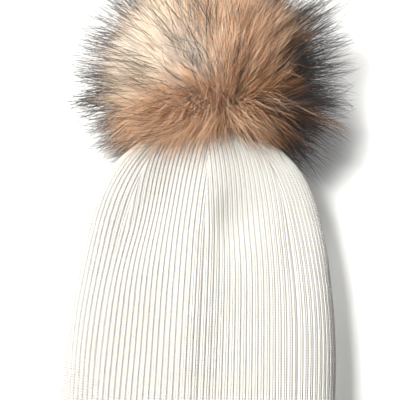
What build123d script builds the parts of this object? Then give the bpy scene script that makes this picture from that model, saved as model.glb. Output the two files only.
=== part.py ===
from build123d import *
from math import asin, atan, cos, degrees, radians, sin, tan
import os

# Pom pom beanie: a rib-knit hat in two layers, standing open on its brim, with a fur pom that
# snaps onto the crown. Millimetres, +Z up, front towards -Y, origin in the middle of the brim's
# opening. The pom and both halves of the snap are turned about the snap's axis, which leans back
# from the crown's tip. Heights in the snap and the pom are above the plane that touches the crown.

# ---- The hat's outside: an arc over the tip, then one curve down to an upright brim ----
hat_width = 204.0
hat_depth = 96.0
hat_height = 250.0
tip_radius = 120.0
tip_half_width = 30.0
shoulder_handle = 48.0
side_handle = 186.0
# How the curve's two handles change with each millimetre that it is moved inwards
shoulder_handle_loss = 0.87
side_handle_gain = 0.19
brim_trim = 5.0

# ---- Knitted layers, with the shell's edge turned in at the brim as a hem ----
shell_wall = 3.0
lining_wall = 2.0
layer_gap = 0.4
hem_height = 40.0
yarn_thickness = 1.2
yarn_width = 1.0
dart_length = 57.0
back_seam_bottom = 2.0

# ---- Care label, lying on the hem inside the back ----
label_width = 28.0
label_height = 18.0
label_thickness = 0.4
label_bottom = 16.0

# ---- Hat's half of the snap ----
pom_lean = 14.0
seat_depth = 0.8
seat_clearance = 0.2
washer_radius = 8.0
washer_thickness = 1.5
gather_radius = 5.0
backing_radius = 9.0
backing_thickness = 3.0
felt_clearance = 0.1
tube_radius = 1.9
tube_wall = 0.4
hole_clearance = 0.1
flare_reach = 0.6
flare_thickness = 0.5
flare_room = 0.4
flange_radius = 6.0
flange_thickness = 0.8
neck_height = 2.0
head_height = 1.5
head_wall = 0.6
head_lip = 0.6
head_round = 0.5

# ---- Pom's half of the snap ----
spring_wire = 1.0
spring_clearance = 0.1
spring_arc = 330.0
spring_room = 1.2
socket_wall = 1.3
socket_lift = 0.3
socket_lip = 0.5
socket_clearance = 0.3
roof_thickness = 0.8
socket_round = 0.4
rivet_radius = 1.5
rivet_flare = 0.7
rivet_flare_thickness = 0.3
rivet_headroom = 0.3
rivet_play = 0.05
rivet_cap_round = 0.3

# ---- Pom ----
base_disc_radius = 15.0
base_disc_thickness = 1.2
pelt_radius = 32.0
pelt_wall = 1.2
pelt_mouth_radius = 7.5
pelt_floor_radius = 10.0
draw_thread = 0.9
thread_clearance = 0.1
stuffing_clearance = 0.3
fur_radius = 76.0
fur_clearance = 0.4
fur_above_crown = 2.6

# ---- Worked out: the snap's axis ----
depth_share = hat_depth / hat_width
lean = radians(pom_lean)
seat_angle = atan(depth_share * tan(lean))
seat_point = Vector(
    0, depth_share * tip_radius * sin(seat_angle), hat_height - tip_radius * (1 - cos(seat_angle))
)
snap_axis = Axis(seat_point, (0, sin(lean), cos(lean)))
snap_section = Plane(origin=seat_point, x_dir=(1, 0, 0), z_dir=(0, -cos(lean), sin(lean)))

# ---- Worked out: heights in the snap and the pom ----
full_wall = shell_wall + layer_gap + lining_wall
washer_top = washer_thickness - seat_depth
backing_bottom = -full_wall - backing_thickness
neck_bottom = washer_top + flange_thickness
head_bottom = neck_bottom + neck_height
head_top = head_bottom + head_height
cavity_top = head_top - head_wall
cavity_bottom = cavity_top - flare_thickness - 2 * rivet_play
eyelet_flare_bottom = cavity_bottom + rivet_play
socket_bottom = neck_bottom + socket_lift
groove_bottom = socket_bottom + socket_lip
groove_top = groove_bottom + spring_wire + 2 * spring_clearance
spring_height = groove_bottom + spring_clearance + spring_wire / 2
flare_bottom = head_top + rivet_headroom
roof_bottom = flare_bottom + rivet_flare_thickness + rivet_play
roof_top = roof_bottom + roof_thickness
disc_top = roof_top + base_disc_thickness
pelt_centre = disc_top + (pelt_radius**2 - pelt_floor_radius**2) ** 0.5

# ---- Worked out: radii in the snap, from the eyelet's tube outwards ----
eyelet_bore = tube_radius - tube_wall
hole_radius = tube_radius + hole_clearance
head_radius = tube_radius + flare_reach + flare_room + head_wall
neck_radius = head_radius - head_lip
socket_bore = head_radius + socket_clearance
spring_centre = neck_radius + spring_clearance + spring_wire / 2
groove_radius = spring_centre + spring_wire / 2 + spring_room
socket_radius = groove_radius + socket_wall
rivet_hole = rivet_radius + hole_clearance


def dome(inset):
    """The hat's outside moved inwards by inset, as a solid: its side line turned about Z, then
    flattened front to back so that it is inset there as much as at the sides, and trimmed flat
    at the brim."""
    half_width = hat_width / 2 - inset
    half_depth = hat_depth / 2 - inset
    tip_angle = degrees(asin(tip_half_width / tip_radius))
    with BuildPart() as body:
        with BuildSketch(Plane.XZ):
            with BuildLine():
                top = JernArc((0, hat_height - inset), (1, 0), tip_radius - inset, -tip_angle)
                shoulder = top @ 1 + (top % 1) * (shoulder_handle - shoulder_handle_loss * inset)
                side = (half_width, side_handle + side_handle_gain * inset)
                Bezier(top @ 1, shoulder, side, (half_width, 0))
                Polyline((half_width, 0), (half_width, -brim_trim), (0, -brim_trim), top @ 0)
            make_face()
        revolve(axis=Axis.Z)
        scale(by=(1, half_depth / half_width, 1))
        split(bisect_by=Plane.XY, keep=Keep.TOP)
    return body.part


def section(*corners):
    """Half section of a turned piece: its (radius, height) corners beside the snap's axis."""
    with BuildSketch(snap_section) as half:
        with BuildLine():
            Polyline(*corners, close=True)
        make_face()
    return half.sketch


def ring(inner, outer, bottom, top):
    """Half section of a plain ring, or of a disc where it has no inner radius."""
    return section((inner, bottom), (outer, bottom), (outer, top), (inner, top))


def ball(radius, floor):
    """Half section of a ball about the pom's centre, cut flat at the height of its floor."""
    drop = pelt_centre - floor
    with BuildSketch(snap_section) as half:
        with BuildLine():
            rim = (radius**2 - drop**2) ** 0.5
            ThreePointArc((rim, floor), (radius, pelt_centre), (0, pelt_centre + radius))
            Polyline((0, pelt_centre + radius), (0, floor), (rim, floor))
        make_face()
    return half.sketch


def write(piece, name):
    """Labels a finished piece and writes it as one STEP file."""
    piece.part.label = name
    export_step(piece.part, f"parts/{name}.step")


os.makedirs("parts", exist_ok=True)
outside = dome(0)
hem_inside = dome(full_wall)

# ---- Seam yarns, sunk flush into the shell's surface and stopping at the snap's seat ----
with BuildPart() as yarn_layer:
    add(outside)
    add(dome(yarn_thickness), mode=Mode.SUBTRACT)
    revolve(ring(0, washer_radius + seat_clearance, -hat_depth, hat_depth), snap_axis, mode=Mode.SUBTRACT)

with BuildPart() as front_dart_yarn:
    add(yarn_layer.part)
    with BuildSketch(Plane.XZ):
        with Locations((0, hat_height - dart_length)):
            Rectangle(yarn_width, dart_length, align=(Align.CENTER, Align.MIN))
    extrude(amount=hat_depth, mode=Mode.INTERSECT)
write(front_dart_yarn, "front_dart_yarn")

with BuildPart() as back_seam_yarn:
    add(yarn_layer.part)
    with BuildSketch(Plane.XZ):
        with Locations((0, back_seam_bottom)):
            Rectangle(yarn_width, hat_height, align=(Align.CENTER, Align.MIN))
    extrude(amount=-hat_depth, mode=Mode.INTERSECT)
write(back_seam_yarn, "back_seam_yarn")

side_dart_yarns = []
for name, side_sign in (("left_dart_yarn", -1), ("right_dart_yarn", 1)):
    with BuildPart() as side_dart_yarn:
        add(yarn_layer.part)
        with BuildSketch(Plane.YZ):
            with Locations((0, hat_height - dart_length)):
                Rectangle(yarn_width, dart_length, align=(Align.CENTER, Align.MIN))
        extrude(amount=side_sign * hat_width, mode=Mode.INTERSECT)
    write(side_dart_yarn, name)
    side_dart_yarns.append(side_dart_yarn.part)

with BuildPart() as crown_gather_yarn:
    gather_section = ring(
        gather_radius - yarn_thickness / 2,
        gather_radius + yarn_thickness / 2,
        -seat_depth - yarn_thickness,
        -seat_depth,
    )
    revolve(gather_section, snap_axis)
write(crown_gather_yarn, "crown_gather_yarn")

# ---- Shell: one thick rib-knit wall, doubled inwards below the hem's edge ----
with BuildPart() as shell_hollow:
    add(dome(shell_wall))
    with BuildSketch(Plane.XY.offset(hem_height)):
        Rectangle(hat_width, hat_depth)
    extrude(amount=hat_height, mode=Mode.INTERSECT)

with BuildPart() as knit_shell:
    add(outside)
    add(hem_inside, mode=Mode.SUBTRACT)
    add(shell_hollow.part, mode=Mode.SUBTRACT)
    for yarn in (front_dart_yarn.part, back_seam_yarn.part, *side_dart_yarns):
        add(yarn, mode=Mode.SUBTRACT)
    revolve(ring(0, washer_radius + seat_clearance, -seat_depth, seat_depth), snap_axis, mode=Mode.SUBTRACT)
    revolve(gather_section, snap_axis, mode=Mode.SUBTRACT)
    revolve(ring(0, hole_radius, backing_bottom, 0), snap_axis, mode=Mode.SUBTRACT)
write(knit_shell, "knit_shell")

# ---- Lining, which starts on the yarn that links it to the hem's edge ----
lining_bottom = hem_height + yarn_thickness
with BuildPart() as knit_lining:
    add(dome(shell_wall + layer_gap))
    add(hem_inside, mode=Mode.SUBTRACT)
    with BuildSketch(Plane.XY.offset(lining_bottom)):
        Rectangle(hat_width, hat_depth)
    extrude(amount=hat_height, mode=Mode.INTERSECT)
    revolve(ring(0, hole_radius, backing_bottom, 0), snap_axis, mode=Mode.SUBTRACT)
write(knit_lining, "knit_lining")

with BuildPart() as hem_yarn:
    add(dome(shell_wall + layer_gap))
    add(hem_inside, mode=Mode.SUBTRACT)
    with BuildSketch(Plane.XY.offset(hem_height)):
        Rectangle(hat_width, hat_depth)
    extrude(amount=yarn_thickness, mode=Mode.INTERSECT)
write(hem_yarn, "hem_yarn")

with BuildPart() as care_label:
    add(hem_inside)
    add(dome(full_wall + label_thickness), mode=Mode.SUBTRACT)
    with BuildSketch(Plane.XZ):
        with Locations((0, label_bottom)):
            Rectangle(label_width, label_height, align=(Align.CENTER, Align.MIN))
    extrude(amount=-hat_depth, mode=Mode.INTERSECT)
write(care_label, "care_label")

# ---- Hat's half of the snap: felt, eyelet, felt and stud, riveted through both layers ----
with BuildPart() as crown_backing:
    add(dome(full_wall + felt_clearance))
    revolve(ring(hole_radius, backing_radius, backing_bottom, 0), snap_axis, mode=Mode.INTERSECT)
write(crown_backing, "crown_backing")

with BuildPart() as snap_eyelet:
    revolve(
        section(
            (eyelet_bore, backing_bottom - flange_thickness),
            (flange_radius, backing_bottom - flange_thickness),
            (flange_radius, backing_bottom),
            (tube_radius, backing_bottom),
            (tube_radius, eyelet_flare_bottom),
            (tube_radius + flare_reach, eyelet_flare_bottom),
            (tube_radius + flare_reach, eyelet_flare_bottom + flare_thickness),
            (eyelet_bore, eyelet_flare_bottom + flare_thickness),
        ),
        snap_axis,
    )
write(snap_eyelet, "snap_eyelet")

with BuildPart() as crown_washer:
    revolve(ring(hole_radius, washer_radius, -seat_depth, washer_top), snap_axis)
write(crown_washer, "crown_washer")

with BuildPart() as snap_stud:
    revolve(
        section(
            (hole_radius, washer_top),
            (flange_radius, washer_top),
            (flange_radius, neck_bottom),
            (neck_radius, neck_bottom),
            (neck_radius, head_bottom),
            (head_radius, head_bottom),
            (head_radius, head_top),
            (0, head_top),
            (0, cavity_top),
            (head_radius - head_wall, cavity_top),
            (head_radius - head_wall, cavity_bottom),
            (hole_radius, cavity_bottom),
        ),
        snap_axis,
    )
    head_rim = snap_stud.edges().filter_by(GeomType.CIRCLE).sort_by(snap_axis)[-1]
    fillet(head_rim, head_round)
write(snap_stud, "snap_stud")

# ---- Pom's half of the snap: split spring ring, socket and the rivet that closes them on felt ----
with BuildPart() as snap_spring:
    with BuildSketch(snap_section):
        with Locations((spring_centre, spring_height)):
            Circle(spring_wire / 2)
    revolve(axis=snap_axis, revolution_arc=spring_arc)
write(snap_spring, "snap_spring")

with BuildPart() as snap_socket:
    revolve(
        section(
            (socket_bore, socket_bottom),
            (socket_radius, socket_bottom),
            (socket_radius, roof_top),
            (rivet_hole, roof_top),
            (rivet_hole, roof_bottom),
            (socket_bore, roof_bottom),
            (socket_bore, groove_top),
            (groove_radius, groove_top),
            (groove_radius, groove_bottom),
            (socket_bore, groove_bottom),
        ),
        snap_axis,
    )
    mouth_rims = snap_socket.edges().filter_by(GeomType.CIRCLE).group_by(snap_axis)[0]
    fillet(mouth_rims.sort_by(SortBy.RADIUS)[-1], socket_round)
write(snap_socket, "snap_socket")

with BuildPart() as pom_base_disc:
    revolve(ring(rivet_hole, base_disc_radius, roof_top, disc_top), snap_axis)
write(pom_base_disc, "pom_base_disc")

with BuildPart() as socket_rivet:
    revolve(
        section(
            (0, flare_bottom),
            (rivet_radius + rivet_flare, flare_bottom),
            (rivet_radius + rivet_flare, flare_bottom + rivet_flare_thickness),
            (rivet_radius, flare_bottom + rivet_flare_thickness),
            (rivet_radius, disc_top),
            (flange_radius, disc_top),
            (flange_radius, disc_top + flange_thickness),
            (0, disc_top + flange_thickness),
        ),
        snap_axis,
    )
    cap_rim = socket_rivet.edges().filter_by(GeomType.CIRCLE).sort_by(snap_axis)[-1]
    fillet(cap_rim, rivet_cap_round)
write(socket_rivet, "socket_rivet")

# ---- Pom: a gathered pelt stuffed to a ball, with its fur as one soft solid round it ----
with BuildPart() as pom_pelt:
    revolve(ball(pelt_radius, disc_top), snap_axis)
    revolve(ball(pelt_radius - pelt_wall, disc_top + pelt_wall), snap_axis, mode=Mode.SUBTRACT)
    revolve(ring(0, pelt_mouth_radius, roof_top, disc_top + pelt_wall), snap_axis, mode=Mode.SUBTRACT)
write(pom_pelt, "pom_pelt")

with BuildPart() as pom_draw_thread:
    with BuildSketch(snap_section):
        with Locations((pelt_mouth_radius - thread_clearance - draw_thread / 2, disc_top + pelt_wall / 2)):
            Circle(draw_thread / 2)
    revolve(axis=snap_axis)
write(pom_draw_thread, "pom_draw_thread")

with BuildPart() as pom_stuffing:
    stuffing_radius = pelt_radius - pelt_wall - stuffing_clearance
    revolve(ball(stuffing_radius, disc_top + pelt_wall + stuffing_clearance), snap_axis)
write(pom_stuffing, "pom_stuffing")

with BuildPart() as pom_fur:
    revolve(ball(fur_radius, fur_above_crown), snap_axis)
    revolve(ball(pelt_radius + fur_clearance, disc_top), snap_axis, mode=Mode.SUBTRACT)
    revolve(ring(0, base_disc_radius + fur_clearance, 0, pelt_centre), snap_axis, mode=Mode.SUBTRACT)
write(pom_fur, "pom_fur")
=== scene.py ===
import math

import bpy
import numpy as np
from mathutils import Matrix, Vector


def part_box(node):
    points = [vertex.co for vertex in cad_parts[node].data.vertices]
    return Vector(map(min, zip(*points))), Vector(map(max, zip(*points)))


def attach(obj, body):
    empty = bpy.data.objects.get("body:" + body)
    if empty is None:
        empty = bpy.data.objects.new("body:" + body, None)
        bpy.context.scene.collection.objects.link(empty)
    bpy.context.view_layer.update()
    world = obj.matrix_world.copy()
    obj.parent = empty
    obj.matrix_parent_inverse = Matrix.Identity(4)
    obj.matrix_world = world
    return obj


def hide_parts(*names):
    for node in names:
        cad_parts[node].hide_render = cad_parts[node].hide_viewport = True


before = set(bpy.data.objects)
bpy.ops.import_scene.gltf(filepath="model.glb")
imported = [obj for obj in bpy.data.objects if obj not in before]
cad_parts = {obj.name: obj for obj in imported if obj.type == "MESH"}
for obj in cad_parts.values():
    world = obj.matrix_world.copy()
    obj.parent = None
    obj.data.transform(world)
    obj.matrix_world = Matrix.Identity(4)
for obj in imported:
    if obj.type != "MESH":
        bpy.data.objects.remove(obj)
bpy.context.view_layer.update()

# A pom pom beanie: a fine rib-knit hat in two layers with a snap-on fur pom. Metres, +Z up, front
# towards -Y, origin in the middle of the brim's opening.

# ---- The hat's outline: an arc over the tip, then one curve down to the brim ----
shell_low, shell_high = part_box("knit_shell")
hat_width = shell_high.x - shell_low.x
hat_depth = shell_high.y - shell_low.y
hat_height = shell_high.z
tip_radius = 0.120
tip_half_width = 0.030
shoulder_handle = 0.048
side_handle = 0.186
# How the curve's two handles change with each metre that it is moved inwards
shoulder_handle_loss = 0.87
side_handle_gain = 0.19

# ---- Depths below the hat's outside: the shell's inside, the lining's two faces, the linking yarn ----
shell_wall = 0.0030
lining_face = 0.0034
full_wall = 0.0054
link_depth = 0.0044

# ---- Heights of the hem's top edge and of the brim's rounding ----
hem_height = 0.040
brim_edge = 0.0016

# ---- The hole for the snap, how far seams and snap sink into the knit, and where the snap's dip ends ----
hole_radius = 0.0022
seam_groove = 0.0005
snap_sink = 0.0009
snap_dip = (0.0075, 0.016)

# ---- Care label, lying on the hem inside the back ----
label_width, label_height, label_bottom = 0.028, 0.018, 0.016

# ---- The snap's axis and the pom on it ----
snap_lean = math.radians(14.0)
snap_axis = np.array([0.0, math.sin(snap_lean), math.cos(snap_lean)])
snap_right = np.array([1.0, 0.0, 0.0])
snap_back = np.cross(snap_axis, snap_right)
seat_angle = math.atan(hat_depth / hat_width * math.tan(snap_lean))
seat = np.array([
    0.0,
    hat_depth / hat_width * tip_radius * math.sin(seat_angle),
    hat_height - tip_radius * (1 - math.cos(seat_angle)),
])
pelt_radius = 0.032
pelt_mouth = 0.010
disc_top = 0.00765
pelt_rise = disc_top + math.sqrt(pelt_radius**2 - pelt_mouth**2)
pelt_centre = seat + snap_axis * pelt_rise

# ---- Knitting: ribs in each eighth of the hat, from the middle of its front round by its right ----
ribs_in_section = (17, 11, 11, 17, 17, 11, 11, 17)
rib_height = 0.00100
course = 0.0019
# From this height up the ribs run into the seams, and this power of the narrowing goes into them
narrowing_starts = 0.172
narrowing_share = 0.55
# Shares of a rib's width at which it has columns of points
rib_steps = np.array([0, 0.06, 0.14, 0.25, 0.42, 0.50, 0.58, 0.75, 0.86, 0.94])


# ==== Arrays and meshes ====

def smooth(value, low, high):
    """0 below low, 1 above high, and 3t^2 - 2t^3 of the share t between them."""
    t = np.clip((value - low) / (high - low), 0, 1)
    return t * t * (3 - 2 * t)


def unit(vectors):
    """Vectors divided by their lengths."""
    return vectors / np.maximum(np.linalg.norm(vectors, axis=-1, keepdims=True), 1e-12)


def grid_faces(rows, columns, close_rows=False, close_columns=False):
    """Quads of a grid of rows x columns points, with the running place (row, column) of each corner,
    which goes on past the last row or column where the grid closes on itself."""
    i = np.arange(rows if close_rows else rows - 1)
    j = np.arange(columns if close_columns else columns - 1)
    i, j = (a.ravel() for a in np.meshgrid(i, j, indexing="ij"))
    row = np.stack([i, i, i + 1, i + 1], 1)
    column = np.stack([j, j + 1, j + 1, j], 1)
    return (row % rows) * columns + column % columns, row, column


def volume_of(points, faces, extra_faces=()):
    """Volume inside a closed mesh: a sixth of the triple product of each triangle of its faces, which
    is negative where the faces point inwards."""
    middle = points.mean(0)
    fans = [np.stack([faces[:, 0], faces[:, k], faces[:, k + 1]], 1) for k in range(1, faces.shape[1] - 1)]
    fans += [np.stack([np.full(len(f) - 2, f[0]), f[1:-1], f[2:]], 1) for f in map(np.asarray, extra_faces)]
    a, b, c = (points[np.concatenate(fans)[:, k]] - middle for k in range(3))
    return (a * np.cross(b, c)).sum() / 6


def make_piece(name, points, faces, made_of, stands_for=(), maps=None, extra_faces=()):
    """A mesh from points (n, 3) and faces (m, 3 or 4), turned to face outwards. A corner that repeats the one
    before it is dropped, and so is a face left with two. made_of is the finish, the body that the piece rides
    on and a slot, which is not used. maps holds UV maps as one (u, v) for each face corner."""
    finish, body, slot = made_of
    points, maps = np.asarray(points).reshape(-1, 3), maps or {}
    if volume_of(points, faces, extra_faces) < 0:
        faces, extra_faces = faces[:, ::-1], [face[::-1] for face in extra_faces]
        maps = {label: values[:, ::-1] for label, values in maps.items()}
    keep = faces != np.roll(faces, 1, axis=1)
    whole = keep.sum(1) >= 3
    keep = keep & whole[:, None]
    corners = faces[keep]
    counts = keep.sum(1)[whole]
    used, corners = np.unique(corners, return_inverse=True)
    corners = corners.ravel()
    renumber = np.full(len(points), -1)
    renumber[used] = np.arange(len(used))
    extra = [renumber[np.asarray(face)] for face in extra_faces]
    counts = np.concatenate([counts, [len(face) for face in extra]]).astype(np.int32)
    corners = np.concatenate([corners, *extra]).astype(np.int32)
    mesh = bpy.data.meshes.new(name)
    mesh.vertices.add(len(used))
    mesh.vertices.foreach_set("co", np.asarray(points, np.float32)[used].ravel())
    mesh.loops.add(len(corners))
    mesh.loops.foreach_set("vertex_index", corners)
    mesh.polygons.add(len(counts))
    mesh.polygons.foreach_set("loop_start", np.concatenate([[0], np.cumsum(counts)[:-1]]).astype(np.int32))
    mesh.update(calc_edges=True)
    mesh.shade_smooth()
    for label, values in maps.items():
        layer = mesh.uv_layers.new(name=label)
        rest = np.zeros((sum(len(face) for face in extra), 2))
        layer.data.foreach_set("uv", np.concatenate([values[keep], rest]).astype(np.float32).ravel())
    made = bpy.data.objects.new(name, mesh)
    bpy.context.scene.collection.objects.link(made)
    mesh.materials.append(finish)
    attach(made, body)
    if stands_for:
        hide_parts(*stands_for)
    return made


def grid_piece(name, points, made_of, stands_for, close_rows=True, poles=()):
    """A piece from a grid of points (rows, columns, 3) whose columns close into rings. The rings at its
    poles are one point each."""
    rows, columns = points.shape[:2]
    index = np.arange(rows * columns).reshape(rows, columns)
    for pole in poles:
        index[pole] = index[pole, 0]
    _, row, column = grid_faces(rows, columns, close_rows, close_columns=True)
    return make_piece(name, points, index[row % rows, column % columns], made_of, stands_for)


# ==== Finishes ====

def arithmetic(operation, swapped=False):
    """A method that adds a Math node, with its own number last where the two are swapped."""

    def method(self, *others):
        values = (*others, self) if swapped else (self, *others)
        return self.finish.maths(operation, *values)

    return method


class Field:
    """A number that varies over a surface: a socket of a finish's nodes, used in plain arithmetic."""

    def __init__(self, finish, socket):
        self.finish, self.socket = finish, socket

    __add__ = __radd__ = arithmetic("ADD")
    __mul__ = __rmul__ = arithmetic("MULTIPLY")
    __sub__ = arithmetic("SUBTRACT")
    __rsub__ = arithmetic("SUBTRACT", swapped=True)
    __truediv__ = arithmetic("DIVIDE")
    __rtruediv__ = arithmetic("DIVIDE", swapped=True)
    __abs__ = arithmetic("ABSOLUTE")
    fraction = arithmetic("FRACT")
    cosine = arithmetic("COSINE")
    least = arithmetic("MINIMUM")
    most = arithmetic("MAXIMUM")

    def between(self, low, high):
        """0 below low to 1 above high, smoothly."""
        node = self.finish.node("ShaderNodeMapRange", {"interpolation_type": "SMOOTHSTEP"},
                                {"Value": self, "From Min": low, "From Max": high})
        return Field(self.finish, node.outputs["Result"])


class Finish:
    """One material and its nodes."""

    def __init__(self, name, **constants):
        self.material = bpy.data.materials.new(name)
        self.material.use_nodes = True
        self.tree = self.material.node_tree
        self.shader = next(n for n in self.tree.nodes if n.type == "BSDF_PRINCIPLED")
        for socket, value in constants.items():
            self.shader.inputs[socket.replace("_", " ")].default_value = value

    def node(self, kind, settings=None, sockets=None):
        """A node of this kind: its settings first, then the values or links of its sockets."""
        made = self.tree.nodes.new(kind)
        for name, value in (settings or {}).items():
            if name == "stops":
                while len(made.color_ramp.elements) < len(value):
                    made.color_ramp.elements.new(0.5)
                for element, (place, colour) in zip(made.color_ramp.elements, value):
                    element.position = place
                    element.color = (*colour, 1.0)
            else:
                setattr(made, name, value)
        for name, value in (sockets or {}).items():
            self.feed(made.inputs[name], value)
        return made

    def feed(self, socket, value):
        if isinstance(value, Field):
            value = value.socket
        if isinstance(value, bpy.types.NodeSocket):
            self.tree.links.new(value, socket)
        elif isinstance(value, tuple) and len(value) == 3 and socket.type == "RGBA":
            socket.default_value = (*value, 1.0)
        else:
            socket.default_value = value

    def maths(self, operation, *values):
        node = self.node("ShaderNodeMath", {"operation": operation}, dict(enumerate(values)))
        return Field(self, node.outputs[0])

    def own_map(self, name):
        """The two numbers of the piece's own UV map of this name."""
        source = self.node("ShaderNodeUVMap", {"uv_map": name})
        parts = self.node("ShaderNodeSeparateXYZ", None, {0: source.outputs[0]})
        return Field(self, parts.outputs[0]), Field(self, parts.outputs[1])

    def place(self, scale=(1.0, 1.0, 1.0)):
        """Object coordinates, scaled."""
        source = self.node("ShaderNodeTexCoord")
        scaled = self.node("ShaderNodeVectorMath", {"operation": "MULTIPLY"},
                           {0: source.outputs["Object"], 1: scale})
        return scaled.outputs[0]

    def vector(self, x, y):
        return self.node("ShaderNodeCombineXYZ", None, {0: x, 1: y}).outputs[0]

    def noise(self, where, scale, detail=2.0, roughness=0.5):
        node = self.node("ShaderNodeTexNoise", {"noise_dimensions": "3D"},
                         {"Vector": where, "Scale": scale, "Detail": detail, "Roughness": roughness})
        return Field(self, node.outputs[0])

    def ramp(self, value, stops):
        return self.node("ShaderNodeValToRGB", {"stops": stops}, {"Fac": value}).outputs[0]

    def mix(self, factor, first, second):
        """Two colours mixed, which are sockets 6 and 7 of the node where it mixes colours."""
        node = self.node("ShaderNodeMix", {"data_type": "RGBA"}, {"Factor": factor})
        self.feed(node.inputs[6], first)
        self.feed(node.inputs[7], second)
        return node.outputs[2]

    def wear(self, colour, roughness=None, height=None, depth=0.0002):
        """Feeds the shader, with a height map as its bumps, whose depth is in metres."""
        self.feed(self.shader.inputs["Base Color"], colour)
        if roughness is not None:
            self.feed(self.shader.inputs["Roughness"], roughness)
        if height is not None:
            bump = self.node("ShaderNodeBump", None, {"Strength": 1.0, "Distance": depth, "Height": height})
            self.feed(self.shader.inputs["Normal"], bump.outputs[0])
        return self.material


def tint(red, green, blue):
    """A colour written as it looks on a screen, 0 to 255, as the light it stands for."""
    share = [c / 255 for c in (red, green, blue)]
    return tuple(c / 12.92 if c <= 0.04045 else ((c + 0.055) / 1.055) ** 2.4 for c in share)


def knit_finish(name, light, shade):
    """Rib knit: two wales of V stitches on each rib and a groove between ribs. The knit map counts ribs
    across and courses up. A stitch's height is the cosine of its course moved up with the distance from its
    wale's middle, times the wale's round top. The grooves, the middle of each rib between its wales and the
    gaps between stitches are mixed towards the shade colour, as painted shade in the knit's hollows."""
    f = Finish(name, Roughness=0.82, Sheen_Weight=0.18, Sheen_Roughness=0.45, Specular_IOR_Level=0.25)
    across, up = f.own_map("knit")
    place = f.place()
    fuzz = f.noise(place, 2600.0, 3.0, 0.7)
    cloudy = f.noise(place, 26.0, 2.0)
    in_rib = (across + (f.noise(place, 240.0) - 0.5) * 0.10).fraction()
    from_middle = abs(in_rib - 0.5)
    from_wale = abs(from_middle - 0.21) / 0.21
    round_top = (1.0 - from_wale * from_wale).most(0.0)
    wobble = (f.noise(place, 420.0) - 0.5) * 0.5
    leg = ((up + from_wale * 0.45 + wobble) * (2 * math.pi)).cosine() * 0.5 + 0.5
    stitch = round_top * (leg * 0.75 + 0.25)
    groove = (from_middle * 2.0).between(0.80, 0.99)
    middle = 1.0 - (from_middle * 2.0).between(0.0, 0.14)
    height = stitch + fuzz * 0.5 - groove * 0.4
    # Painted shade: the grooves, the middle of each rib and the gaps between stitches are mixed towards the
    # shade colour
    dark = (groove * 0.26 + middle * (1.0 - leg) * 0.26 + (1.0 - stitch) * 0.10).least(1.0)
    colour = f.mix(dark, light, shade)
    colour = f.mix(cloudy * 0.06, colour, shade)
    colour = f.mix(fuzz.between(0.25, 0.85) * 0.10, colour, light)
    return f.wear(colour, height=height, depth=0.0011)


def yarn_finish(name, light, shade):
    """Twisted yarn: the yarn map runs along it and round it, and its fibres lean with the twist."""
    f = Finish(name, Roughness=0.8, Sheen_Weight=0.2, Sheen_Roughness=0.45)
    along, around = f.own_map("yarn")
    strands = f.noise(f.vector(along * 0.35, around * 9.0 + along * 1.5), 3.0, 3.0, 0.6)
    fuzz = f.noise(f.place(), 2600.0, 2.0)
    ply = ((around * 2.0 + along) * (2 * math.pi)).cosine() * 0.5 + 0.5
    colour = f.mix(strands * 0.35 + (1.0 - ply) * 0.45, light, shade)
    return f.wear(colour, height=strands * 0.7 + fuzz * 0.4, depth=0.00025)


def felt_finish(name, light, shade):
    """Wool felt: matted fibres as stretched noise at three angles, and a slightly mottled dye."""
    f = Finish(name, Roughness=0.95, Sheen_Weight=0.25, Sheen_Roughness=0.5, Specular_IOR_Level=0.2)
    first = f.noise(f.place((3200.0, 700.0, 1600.0)), 1.0, 3.0, 0.7)
    second = f.noise(f.place((800.0, 3000.0, 1500.0)), 1.0, 3.0, 0.7)
    mottle = f.noise(f.place(), 180.0, 3.0)
    colour = f.mix(first * 0.35 + mottle * 0.4, light, shade)
    return f.wear(colour, height=first + second, depth=0.0004)


def metal_finish(name, bright, dull, rough):
    """Plated metal: fine scratches one way, dulled and stained in patches."""
    f = Finish(name, Metallic=1.0)
    scratch = f.noise(f.place((9000.0, 300.0, 900.0)), 1.0, 3.0, 0.7)
    patch = f.noise(f.place(), 420.0, 3.0)
    colour = f.mix(patch.between(0.45, 0.75) * 0.6, bright, dull)
    roughness = patch * 0.18 + scratch * 0.16 + rough
    return f.wear(colour, roughness=roughness, height=scratch * 0.5 + patch * 0.2, depth=0.00006)


def leather_finish(name, light, shade):
    """The skin side of a pelt: fine pores, creases and a mottled tan."""
    f = Finish(name, Roughness=0.8, Sheen_Weight=0.15, Specular_IOR_Level=0.25)
    pores = f.node("ShaderNodeTexVoronoi", {"feature": "DISTANCE_TO_EDGE"},
                   {"Vector": f.place(), "Scale": 900.0})
    pores = Field(f, pores.outputs["Distance"]).between(0.0, 0.25)
    creases = f.noise(f.place((220.0, 220.0, 90.0)), 1.0, 4.0, 0.6)
    colour = f.mix(creases * 0.7 + (1.0 - pores) * 0.25, light, shade)
    return f.wear(colour, height=pores * 0.4 + creases, depth=0.0004)


def stuffing_finish(name, light, shade):
    """Fibre filling: loose white fibres as long stretched noise."""
    f = Finish(name, Roughness=0.9, Sheen_Weight=0.3)
    fibres = f.noise(f.place((260.0, 1900.0, 900.0)), 1.0, 4.0, 0.7)
    colour = f.mix(fibres.between(0.3, 0.7), shade, light)
    return f.wear(colour, height=fibres, depth=0.0006)


def label_finish(name, light, shade):
    """Woven tape: warp and weft as two crossed cosines on the label's own map, in threads."""
    f = Finish(name, Roughness=0.6, Sheen_Weight=0.15)
    across, up = f.own_map("weave")
    warp = (across * (2 * math.pi)).cosine() * 0.5 + 0.5
    weft = (up * (2 * math.pi)).cosine() * 0.5 + 0.5
    cloudy = f.noise(f.place(), 400.0)
    colour = f.mix(warp * 0.25 + weft * 0.25 + cloudy * 0.2, light, shade)
    return f.wear(colour, height=warp + weft, depth=0.00012)


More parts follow.
